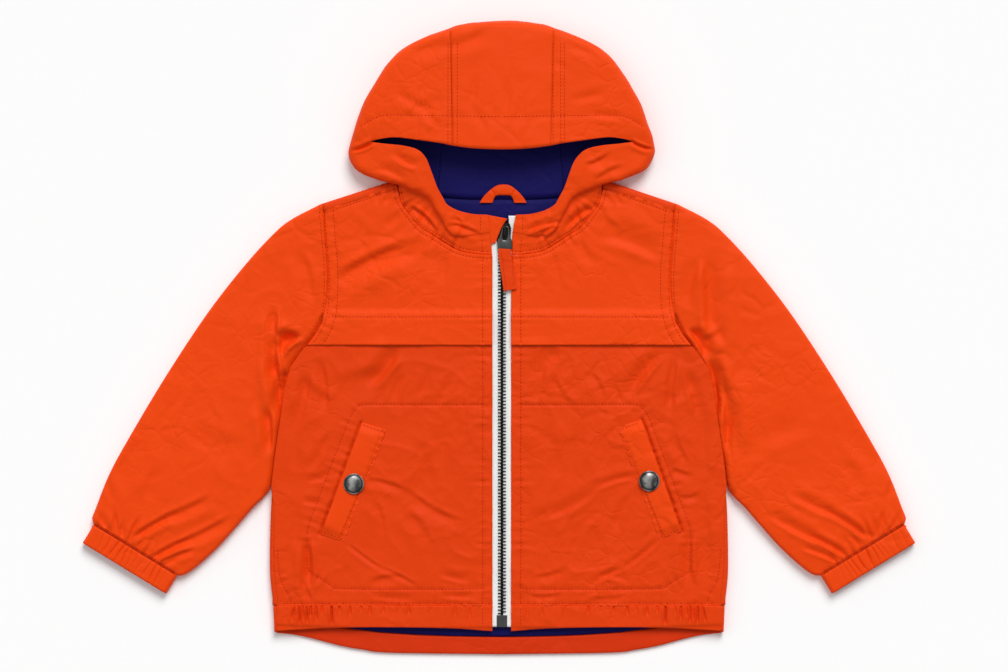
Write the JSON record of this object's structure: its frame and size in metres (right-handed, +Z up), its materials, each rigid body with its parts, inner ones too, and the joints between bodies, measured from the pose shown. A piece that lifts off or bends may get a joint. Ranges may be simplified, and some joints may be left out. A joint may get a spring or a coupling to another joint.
{
  "type": "hooded rain jacket",
  "caption": "Child's hooded zip-up rain jacket, laid flat on its back with its sleeves out, its hood open and its zip closed; the zip's pull tab swings.",
  "frame": {"origin": "middle of the jacket's overall outline, on the surface that it lies on", "axes": "+Z up from the surface, +Y from the hem towards the hood, +X across the jacket towards the sleeve at the right of the picture"},
  "size_m": [0.6232, 0.4744, 0.0258],
  "materials": {
    "orange shell": "plain woven, lightly coated",
    "blue lining": "plain woven",
    "white zip tape": "woven tape",
    "dark metal": "dark nickel, satin"
  },
  "bodies": {
    "jacket": {"back_panel": "orange shell", "front_left": "orange shell", "front_right": "orange shell", "yoke_left": "orange shell", "yoke_right": "orange shell", "sleeve_left": "orange shell", "sleeve_right": "orange shell", "cuff_left": "orange shell", "cuff_right": "orange shell", "hem_front_left": "orange shell", "hem_front_right": "orange shell", "hem_back": "orange shell", "hem_lining": "blue lining", "hood_center": "orange shell", "hood_left": "orange shell", "hood_right": "orange shell", "hood_lining_center": "blue lining", "hood_lining_left": "blue lining", "hood_lining_right": "blue lining", "neck_lining": "blue lining", "hanger_loop": "orange shell", "welt_left": "orange shell", "welt_right": "orange shell", "snap_left": "dark metal", "snap_right": "dark metal", "zip_tape_left": "white zip tape", "zip_tape_right": "white zip tape", "zip_chain": "dark metal", "zip_stop_box": "dark metal", "zip_garage": "orange shell", "zip_slider": "dark metal"},
    "pull_tab": {"zip_pull_link": "dark metal", "zip_pull_strip": "orange shell"}
  },
  "joints": [
    {"name": "pull_tab_swing", "type": "hinge", "parent": "jacket", "child": "pull_tab", "pos_m": [0.0048, 0.0826, 0.00875], "axis": [-0.9976, 0.0698, 0], "range_deg": [0, 150]}
  ]
}
